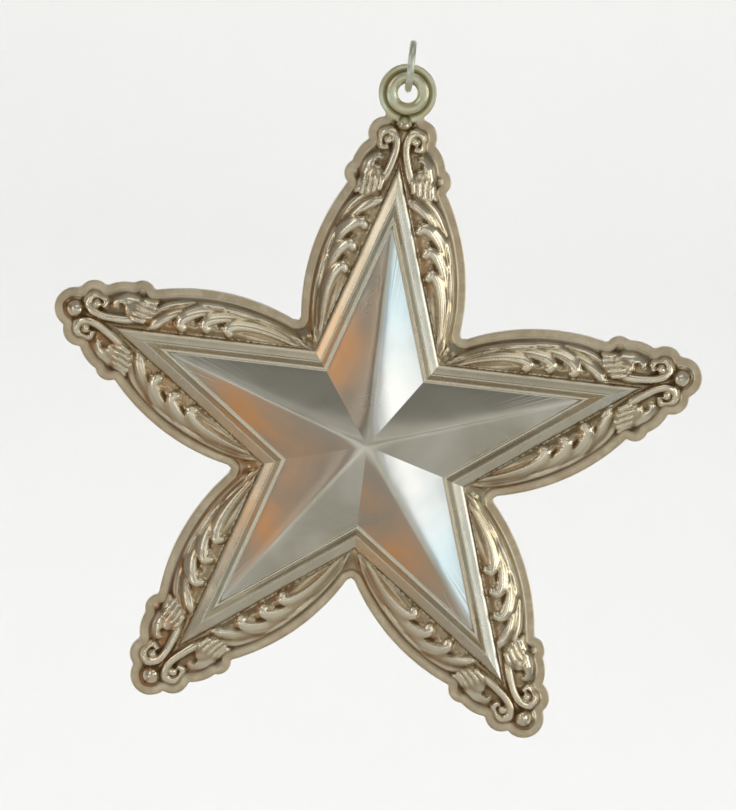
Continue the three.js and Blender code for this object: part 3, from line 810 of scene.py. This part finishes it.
def crease_valleys(mesh):
    """Makes the valleys between the arms sharp: the edges on the lines halfway between two arms."""
    points = np.array([vertex.co for vertex in mesh.vertices]) / MM
    x, y = points[:, 0], points[:, 2] - STAR_Z
    reach = np.hypot(x, y)
    off = (np.arctan2(x, y) + 2 * SECTOR) % (2 * SECTOR) - SECTOR
    on_line = (np.abs(off) < 0.01 * DEG) | (reach < 0.01)
    valley_end = FACET_REACH / math.sin(SECTOR + EDGE_SLANT) + VALLEY_BEYOND
    on_line &= (reach < valley_end) & (points[:, 1] < VALLEY_Y)
    ends = np.array([tuple(edge.vertices) for edge in mesh.edges])
    mesh.edges.foreach_set("use_edge_sharp", on_line[ends].all(1))


def struck_face(finish):
    """The whole struck sheet, and the two kinds of half arm that it is made from."""
    plain, top = HalfArm(False), HalfArm(True)
    sheets = {"half_arm": Sheet(), "top_half_arm": Sheet(), "eyelet": Sheet()}
    half_arm(sheets["half_arm"], plain)
    half_arm(sheets["top_half_arm"], top)
    eyelet(sheets["eyelet"], top)
    source, *others = (placed(sheet.mesh(name), name) for name, sheet in sheets.items())
    star = made_by(star_of_arms, source, "struck_face", {
        "Top Half Arm": others[0], "Eyelet": others[1], "Arms": ARMS,
        "Centre Height": STAR_Z * MM, "Weld": 2e-6, "Finish": finish,
    })
    for other in others:
        bpy.data.objects.remove(other)
    crease_valleys(star.data)
    return star, plain, top


# Back sheet, solder and ring


def star_loop(plain, top):
    """The outline of the whole star and its eyelet, clockwise from the front, in plane coordinates."""
    round_eyelet = on_circle(EYELET_DISC, free_angles(top))[::-1]
    right = top.outer[top.free]
    places = [np.concatenate([right[1:] * (-1, 1), round_eyelet, right[::-1]])]
    x, y = np.concatenate([plain.outer[1:] * (-1, 1), plain.outer[::-1][1:]]).T
    for arm in range(1, ARMS):
        turn = arm * 2 * math.pi / ARMS
        turned_x = x * math.cos(turn) + y * math.sin(turn)
        places.append(np.stack([turned_x, y * math.cos(turn) - x * math.sin(turn)], -1))
    return np.concatenate(places)


def circle_loop(radius):
    """A clockwise circle round the middle of the eyelet."""
    angles = -np.linspace(0, 2 * math.pi, HOLE_STEPS, endpoint=False)
    return on_circle((0, EYELET_CENTRE, radius), angles)


def inset(loop, distance):
    """A clockwise loop moved inwards by a small distance."""
    ways = np.roll(loop, -1, 0) - np.roll(loop, 1, 0)
    ways /= np.linalg.norm(ways, axis=1)[:, None]
    return loop + np.stack([ways[:, 1], -ways[:, 0]], -1) * np.asarray(distance).reshape(-1, 1)


def walls(work, loops, closed=False):
    """Loops of points from (places, depth), joined by faces, the last to the first too if closed."""
    rings = [
        [work.verts.new((x * MM, depth * MM, (y + STAR_Z) * MM)) for x, y in places]
        for places, depth in loops
    ]
    for first, second in zip(rings, rings[1:] + rings[:1] if closed else rings[1:]):
        for i in range(len(first)):
            j = (i + 1) % len(first)
            work.faces.new((first[i], first[j], second[j], second[i]))
    return rings


def finished_mesh(work, name, finish):
    mesh = bpy.data.meshes.new(name)
    work.to_mesh(mesh)
    work.free()
    mesh.materials.append(finish)
    return placed(mesh, name)


def flat_sheet(name, outline, front, thickness, corner, finish):
    """A flat sheet with softly broken edges round its outline and round the eyelet's hole."""
    work = bmesh.new()
    bevel = [(corner, 0), (corner * 0.3, corner * 0.3), (0, corner)]
    rows = [(reach, front + drop) for reach, drop in bevel]
    rows += [(reach, front + thickness - drop) for reach, drop in reversed(bevel)]
    sides = [
        walls(work, [(inset(loop, sign * reach), depth) for reach, depth in rows])
        for loop, sign in ((outline, 1), (circle_loop(HOLE_RADIUS), -1))
    ]
    flat_edges = []
    for end in (0, -1):
        edges = []
        for rings in sides:
            loop = rings[end]
            edges += [work.edges.get((loop[i - 1], loop[i])) for i in range(len(loop))]
        bmesh.ops.triangle_fill(work, edges=edges, use_beauty=True)
        flat_edges += edges
    bmesh.ops.recalc_face_normals(work, faces=work.faces)
    for face in work.faces:
        face.smooth = True
    for edge in work.edges:
        edge.smooth = edge.calc_face_angle(0) < 40 * DEG
    for edge in flat_edges:
        edge.smooth = False
    return finished_mesh(work, name, finish)


def seam_section(lift, reach):
    """Section of the solder, from its hollow outer side inwards, as pairs of distance in and depth."""
    hollow = [(lift + SOLDER_HOLLOW, 0), (lift, SOLDER / 2), (lift + SOLDER_HOLLOW, SOLDER)]
    return hollow + [(reach, SOLDER), (reach, 0)]


def solder_seam(outline, finish):
    """The seam of solder between the sheets, a little uneven along its outer side."""
    length = np.cumsum(np.linalg.norm(np.diff(outline, axis=0, prepend=outline[-1:]), axis=1))
    lift = SOLDER_IN + 0.02 * np.sin(length * 1.7) + 0.015 * np.sin(length * 4.3 + 1)
    work = bmesh.new()
    section = seam_section(lift, SOLDER_REACH)
    walls(work, [(inset(outline, reach), depth) for reach, depth in section], closed=True)
    section = seam_section(HOLE_SOLDER_IN, HOLE_SOLDER_REACH)
    walls(work, [(circle_loop(HOLE_RADIUS + reach), depth) for reach, depth in section], closed=True)
    bmesh.ops.recalc_face_normals(work, faces=work.faces)
    seam = finished_mesh(work, "solder_seam", finish)
    seam.data.polygons.foreach_set("use_smooth", [True] * len(seam.data.polygons))
    seam.data.set_sharp_from_angle(angle=60 * DEG)
    return seam


def bent_wire(tree, given):
    """A ring of round wire in the YZ plane, left open by a narrow butt joint with broken corners."""
    line = add(tree, "GeometryNodeCurveArc", {
        "Resolution": RING_STEPS, "Radius": given["Ring Radius"],
        "Start Angle": given["Start"], "Sweep Angle": given["Sweep"],
    }, mode="RADIUS")
    along = add(tree, "GeometryNodeSplineParameter", output="Length")
    total = add(tree, "GeometryNodeSplineLength", output="Length")
    nearest = along.math("MINIMUM", along, total - along)
    near_end = nearest.math("DIVIDE", nearest, given["Corner"], True)
    section = add(tree, "GeometryNodeCurvePrimitiveCircle", {
        "Resolution": WIRE_SIDES, "Radius": given["Wire Radius"],
    }, mode="RADIUS")
    wire = add(tree, "GeometryNodeCurveToMesh", {
        "Curve": line, "Profile Curve": section, "Fill Caps": True,
        "Scale": near_end * END_SHRINK + (1 - END_SHRINK),
    })
    upright = add(tree, "GeometryNodeTransform", {"Geometry": wire, "Rotation": (0, math.pi / 2, 0)})
    return add(tree, "GeometryNodeRealizeInstances", {"Geometry": upright})


def open_ring(finish):
    """The jump ring, through the eyelet's hole."""
    source = placed(bpy.data.meshes.new("wire"), "wire")
    gap = RING_SPLIT / RING_RADIUS
    ring = made_by(bent_wire, source, "wire_ring", {
        "Ring Radius": RING_RADIUS * MM, "Wire Radius": WIRE / 2 * MM, "Centre Height": RING_CENTRE_Z * MM,
        "Start": math.pi - RING_SPLIT_ANGLE + gap / 2, "Sweep": 2 * math.pi - gap,
        "Corner": RING_CORNER * MM, "Finish": finish,
    })
    ring.data.set_sharp_from_angle(angle=50 * DEG)
    return ring


# Finishes

# Directions in the star's plane that its facets turn towards
LEFT = (-0.951, 0, 0.309)
LOW_LEFT = (-0.588, 0, -0.809)
RIGHT = (0.951, 0, 0.309)
UP = (0, 0, 1)


class Paint:
    """A finish on one material. Patterns are in millimetres on Object coordinates."""

    def __init__(self, name):
        self.material = bpy.data.materials.new(name)
        self.material.use_nodes = True
        self.tree = self.material.node_tree
        self.tree.nodes.clear()
        place, self.normal = (self.add("ShaderNodeTexCoord", output=name) for name in ("Object", "Normal"))
        self.place = self.add("ShaderNodeVectorMath", {0: place, "Scale": 1 / MM}, operation="SCALE")

    def add(self, kind, values=None, output=0, **settings):
        return add(self.tree, kind, values, output, **settings)

    def noise(self, scale, detail=2.0, roughness=0.5, distortion=0.0, place=None):
        return self.add("ShaderNodeTexNoise", {
            "Vector": place or self.place, "Scale": scale,
            "Detail": detail, "Roughness": roughness, "Distortion": distortion,
        })

    def mark(self, name):
        """A mark that a mesh carries on its points."""
        return self.add("ShaderNodeAttribute", output="Fac", attribute_name=name)

    def mixed(self, share, first, second):
        """A colour between two colours."""
        first, second = ((*c, 1) if isinstance(c, tuple) else c for c in (first, second))
        return self.add("ShaderNodeMix", {0: share, 6: first, 7: second}, 2, data_type="RGBA")

    def measured(self, operation, first, second):
        return self.add("ShaderNodeVectorMath", {0: first, 1: second}, "Value", operation=operation)

    def facing(self, direction):
        """How far the surface turns towards a direction, seen on the piece itself."""
        return self.measured("DOT_PRODUCT", self.normal, direction)

    def along(self, direction):
        """Distance from the star's middle along a direction, in millimetres."""
        return self.measured("DOT_PRODUCT", self.place, direction) - STAR_Z * direction[2]

    def distance(self, point):
        return self.measured("DISTANCE", self.place, point)

    def bump(self, height, distance, normal=None):
        values = {"Height": height, "Distance": distance * MM, "Strength": 1.0}
        if normal is not None:
            values["Normal"] = normal
        return self.add("ShaderNodeBump", values)

    def surface(self, colour, roughness, normal, metallic=1.0):
        values = {"Base Color": colour, "Roughness": roughness, "Normal": normal, "Metallic": metallic}
        self.add("ShaderNodeOutputMaterial", {"Surface": self.add("ShaderNodeBsdfPrincipled", values)})
        return self.material


def scratches(paint, seed, angle, width=0.2, length=6.0):
    """Fine straight scratches one way, each as a thin line of 1 on a ground of 0."""
    lines = paint.add("ShaderNodeMapping", {
        "Vector": paint.place, "Location": (seed, seed * 2, seed * 3),
        "Rotation": (0, angle * DEG, 0), "Scale": (width, length, length),
    }, vector_type="TEXTURE")
    return paint.noise(1.0, 1.0, 0.4, 0.15, lines).above(0.7, 14)


def leaf_colour(paint, cloud, mottle, recess, deep):
    """Leaves: a painted brown reflection on the sides that face and lie towards the lower left, a painted
    greenish reflection on those that face the upper right, dark in pits, bright on crests.
    """
    # Painted greenish reflection on surfaces that face the upper right
    cool_painted_reflection = (paint.facing((0.72, -0.35, 0.42)) * 1.3 - 0.25 + (cloud - 0.5) * 1.6).held()
    # Painted brown reflection on surfaces that face, and lie towards, the lower left
    aside = paint.along((-0.9, 0, -0.43)) * 0.015
    brown = (paint.facing((-0.72, -0.2, -0.42)) * 1.2 - 0.1 + (0.5 - cloud) * 1.8 + aside).held()
    leaf = paint.mixed(mottle.above(0.35, 2.5), (0.28, 0.19, 0.095), (0.44, 0.335, 0.19))
    leaf = paint.mixed(brown * 0.8, leaf, (0.47, 0.25, 0.11))
    leaf = paint.mixed(cool_painted_reflection * 0.6, leaf, (0.60, 0.56, 0.38))
    high = paint.mark("relief").above(0.3, 1.8) * (0.6 + 0.6 * mottle)
    leaf = paint.mixed(high, leaf, (0.80, 0.69, 0.47))
    leaf = paint.mixed(deep, leaf, (0.15, 0.095, 0.045))
    return paint.mixed(recess.below(0.46, 4) * 0.7, leaf, (0.96, 0.88, 0.69))


def facet_colour(paint, cloud):
    """Facets: a painted warm reflection and a painted orange reflection on the left-facing ones, a painted
    pale blue reflection on the right-facing ones and painted shade where they face up.
    """
    # Which way each facet faces, for the painted reflections and painted shade below
    left, low_left, right, up = (
        paint.facing(direction).above(0.16, 12) for direction in (LEFT, LOW_LEFT, RIGHT, UP)
    )
    warm = left.larger(low_left)
    outwards = paint.distance((0, -5, STAR_Z))
    reach = left * paint.along(LEFT) + low_left * paint.along(LOW_LEFT)
    near = outwards.below(24, 0.12) * reach.above(2.5, 0.25)
    tone = paint.mixed(cloud.above(0.38, 3.2), (0.60, 0.57, 0.455), (0.80, 0.775, 0.67))
    # Painted warm reflection on the left-facing facets, fading outwards
    tone = paint.mixed(warm * (0.9 - (outwards * 0.03).held() * 0.5), tone, (0.52, 0.42, 0.32))
    # Painted orange reflection near the middle of the left-facing facets
    tone = paint.mixed(warm * near * cloud.above(0.3, 3), tone, (0.90, 0.48, 0.22))
    # Painted pale blue reflection for the right-facing facets
    blue_painted_reflection = paint.mixed(outwards.above(8, 0.12), (0.90, 0.91, 0.87), (0.64, 0.79, 0.83))
    blue_painted_reflection = paint.mixed(cloud.above(0.48, 5) * 0.7, blue_painted_reflection, (0.58, 0.64, 0.65))
    tone = paint.mixed(right * 0.85, tone, blue_painted_reflection)
    # Painted shade on the facets that face up
    return paint.mixed(up * 0.8, tone, (0.44, 0.42, 0.34))


def rim_colour(paint, cloud, mottle):
    """Rim: mottled brown silver, worn bright along its lip and with a painted highlight there."""
    edge = paint.mixed(mottle.above(0.4, 3), (0.55, 0.45, 0.30), (0.75, 0.66, 0.47))
    edge = paint.mixed(cloud.below(0.52, 4) * 0.6, edge, (0.50, 0.36, 0.21))
    # Worn bright, plus a painted highlight, where the lip turns away from the face
    return paint.mixed(paint.facing((0, -1, 0)).below(0.9, 5), edge, (0.94, 0.88, 0.70))


def with_patina(paint, colour, mottle, recess):
    """A colour under the greenish patina of the eyelet, which leaves the bead below it free."""
    bead = paint.distance((0, -1.3, STAR_Z + TOP_BEAD_CENTRE)).below(1.25, 6)
    crown = paint.distance((0, -1, STAR_Z + EYELET_CENTRE)).below(3.7, 2.5) * (1 - bead)
    patina = paint.mixed(mottle.above(0.4, 3.5), (0.72, 0.66, 0.42), (0.76, 0.85, 0.64))
    colour = paint.mixed(crown * 0.85, colour, patina)
    return paint.mixed(crown * recess.above(0.52, 5), colour, (0.30, 0.27, 0.13))


def struck_silver():
    paint = Paint("struck silver")
    recess, rim, facet = (paint.mark(name) for name in ("recess", "rim", "facet"))
    cloud = paint.noise(0.09, 3.0, 0.55, 0.6)
    mottle = paint.noise(0.55, 4.0, 0.6, 0.3)
    grain = paint.noise(3.4, 3.0, 0.6)
    deep = ((recess - 0.7) * 4.6 + (mottle - 0.5) * 0.4).held()

    colour = paint.mixed(facet, leaf_colour(paint, cloud, mottle, recess, deep), facet_colour(paint, cloud))
    colour = paint.mixed(rim, colour, rim_colour(paint, cloud, mottle))
    colour = with_patina(paint, colour, mottle, recess)
    rough = 0.2 + 0.1 * cloud + 0.14 * deep + 0.12 * rim + 0.04 * facet
    rough = rough + scratches(paint, 3.0, 24) * 0.06
    normal = paint.bump(paint.noise(0.14, 2.0, 0.4), 0.16)
    normal = paint.bump(grain * (rim * 0.9 + (1 - facet) * 0.2), 0.02, normal)
    return paint.surface(colour, rough.held(), normal)


def sheet_silver():
    paint = Paint("plain silver sheet")
    cloud = paint.noise(0.07, 3.0, 0.55, 0.8)
    mottle = paint.noise(0.5, 4.0, 0.6, 0.4)
    colour = paint.mixed(cloud.above(0.36, 3.4), (0.52, 0.47, 0.39), (0.80, 0.78, 0.72))
    colour = paint.mixed(mottle.above(0.62, 5) * 0.5, colour, (0.30, 0.24, 0.17))
    marks = scratches(paint, 5.0, 12, 0.25).larger(scratches(paint, 9.0, -37))
    marks = marks.larger(scratches(paint, 2.0, 66, 0.25))
    rough = 0.24 + 0.16 * cloud + 0.15 * marks
    normal = paint.bump(paint.noise(0.12, 2.0, 0.4), 0.15)
    normal = paint.bump(1 - marks, 0.006, normal)
    return paint.surface(colour, rough.held(), normal)


def dull_solder():
    paint = Paint("silver solder")
    mottle = paint.noise(1.2, 4.0, 0.6, 0.4)
    colour = paint.mixed(mottle.above(0.35, 3), (0.40, 0.35, 0.28), (0.66, 0.62, 0.54))
    return paint.surface(colour, (0.42 + 0.2 * mottle).held(), paint.bump(paint.noise(2.2, 3.0), 0.04))


def drawn_wire():
    paint = Paint("drawn silver wire")
    mottle = paint.noise(0.9, 3.0, 0.6, 0.4)
    colour = paint.mixed(mottle.above(0.35, 3), (0.66, 0.68, 0.54), (0.86, 0.87, 0.74))
    marks = scratches(paint, 4.0, 8, 0.1, 2.0)
    return paint.surface(colour, (0.28 + 0.14 * mottle + 0.1 * marks).held(), paint.bump(1 - marks, 0.004))


# The pieces

face, plain_half, top_half = struck_face(struck_silver())
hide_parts("front_shell")
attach(face, "star")

outline = star_loop(plain_half, top_half)[::2]
back = flat_sheet("back_sheet", outline, SOLDER, BACK_SHEET, BACK_CORNER, sheet_silver())
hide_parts("back_plate")
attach(back, "star")

seam = solder_seam(outline, dull_solder())
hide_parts("rim_solder")
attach(seam, "star")

ring = open_ring(drawn_wire())
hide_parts("jump_ring")
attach(ring, "ring")


# Stage, light and camera, in metres

FLOOR_Z = -0.42
WALL_Y = 0.75
WALL_HEIGHT = 2.4


def pale_paper():
    paint = Paint("pale paper")
    colour = paint.mixed(paint.noise(0.01, 2.0), (0.80, 0.80, 0.79), (0.83, 0.83, 0.82))
    return paint.surface(colour, 0.9, paint.bump(paint.noise(0.8, 3.0), 0.02), 0.0)


def sweep(width, front, bend):
    """A floor that curves up into a backdrop."""
    profile = [(front, FLOOR_Z)]
    for angle in np.linspace(0, math.pi / 2, 25):
        profile.append((WALL_Y - bend + bend * math.sin(angle), FLOOR_Z + bend - bend * math.cos(angle)))
    profile.append((WALL_Y, FLOOR_Z + WALL_HEIGHT))
    verts = [(side * width / 2, y, z) for y, z in profile for side in (-1, 1)]
    faces = [(2 * i, 2 * i + 1, 2 * i + 3, 2 * i + 2) for i in range(len(profile) - 1)]
    mesh = bpy.data.meshes.new("paper_sweep")
    mesh.from_pydata(verts, [], faces)
    mesh.materials.append(pale_paper())
    mesh.polygons.foreach_set("use_smooth", [True] * len(mesh.polygons))
    return placed(mesh, "paper_sweep")


sweep(width=9.0, front=-5.0, bend=0.35)


def softbox(name, place, target, size, watts, spread=180):
    """A rectangular lamp that looks at a target, with its light held to a spread in degrees."""
    data = bpy.data.lights.new(name, "AREA")
    data.shape, data.size, data.size_y = "RECTANGLE", *size
    data.energy = watts
    data.spread = spread * DEG
    lamp = bpy.data.objects.new(name, data)
    bpy.context.scene.collection.objects.link(lamp)
    lamp.location = place
    lamp.rotation_euler = (Vector(target) - Vector(place)).to_track_quat("-Z", "Y").to_euler()


centre = Vector((0, -0.003, STAR_Z * MM))


def towards(azimuth, tilt, distance):
    """A place seen from the star: tilt away from the face's own direction, azimuth clockwise from up."""
    azimuth, tilt = azimuth * DEG, tilt * DEG
    aside = math.sin(tilt)
    return centre + distance * Vector((aside * math.sin(azimuth), -math.cos(tilt), aside * math.cos(azimuth)))


# Lamps round the star: name, azimuth, tilt, distance, size and watts
for name, azimuth, tilt, distance, size, watts in [
    ("right panel", 80, 49, 0.8, (0.25, 0.5), 0.5),
    ("front panel", 20, 26, 1.0, (0.7, 0.5), 0.6),
    ("front fill", 186, 8, 1.0, (0.3, 0.3), 0.13),
    ("left panel", 300, 66, 0.8, (0.16, 0.5), 0.5),
    ("left strip", 285, 40, 0.8, (0.03, 0.5), 0.12),
    ("low left strip", 250, 64, 0.8, (0.06, 0.35), 0.3),
    ("right rim panel", 78, 80, 0.8, (0.2, 0.5), 0.8),
    ("top panel", 5, 76, 0.9, (0.7, 0.3), 0.5),
    ("low panel", 165, 70, 0.8, (0.3, 0.12), 0.3),
]:
    softbox(name, towards(azimuth, tilt, distance), centre, size, watts)

# Lamps on the paper alone
softbox("backdrop lamp", (0, 0.2, 0.75), (0, WALL_Y, -0.1), (3.0, 0.3), 6.0, spread=70)
softbox("floor lamp", (0, -2.6, 1.1), (0, -2.6, FLOOR_Z), (4.0, 2.8), 30, spread=80)

world = bpy.data.worlds.new("studio")
bpy.context.scene.world = world
world.use_nodes = True
world.node_tree.nodes["Background"].inputs["Color"].default_value = (0.25, 0.25, 0.25, 1)

PIXELS_PER_MM = 8.53
FRAME_WIDTH, FRAME_HEIGHT = 736, 810
CENTRE_AT = (367, 441)
CAMERA_DISTANCE = 0.6
CAMERA_RISE = 5 * DEG
STAR_LEAN = 6.65 * DEG
SENSOR = 36

across = Vector((math.cos(STAR_LEAN), 0, math.sin(STAR_LEAN)))
upright = Vector((-math.sin(STAR_LEAN), 0, math.cos(STAR_LEAN)))
toward_camera = math.cos(CAMERA_RISE) * Vector((0, -1, 0)) + math.sin(CAMERA_RISE) * upright
camera_up = math.cos(CAMERA_RISE) * upright + math.sin(CAMERA_RISE) * Vector((0, 1, 0))
aim = Vector((0, -FRONT_SHEET * MM, STAR_Z * MM))
aim += across * (FRAME_WIDTH / 2 - CENTRE_AT[0]) / PIXELS_PER_MM * MM
aim -= camera_up * (FRAME_HEIGHT / 2 - CENTRE_AT[1]) / PIXELS_PER_MM * MM
lens = bpy.data.cameras.new("camera")
lens.sensor_fit, lens.sensor_width, lens.sensor_height = "VERTICAL", SENSOR, SENSOR
lens.lens = SENSOR * CAMERA_DISTANCE / (FRAME_HEIGHT / PIXELS_PER_MM * MM)
lens.clip_start = 0.01
camera = bpy.data.objects.new("camera", lens)
bpy.context.scene.collection.objects.link(camera)
turn = Matrix((across, camera_up, toward_camera)).transposed().to_4x4()
camera.matrix_world = Matrix.Translation(aim + toward_camera * CAMERA_DISTANCE) @ turn
bpy.context.scene.camera = camera
bpy.context.scene.view_settings.view_transform = "Standard"
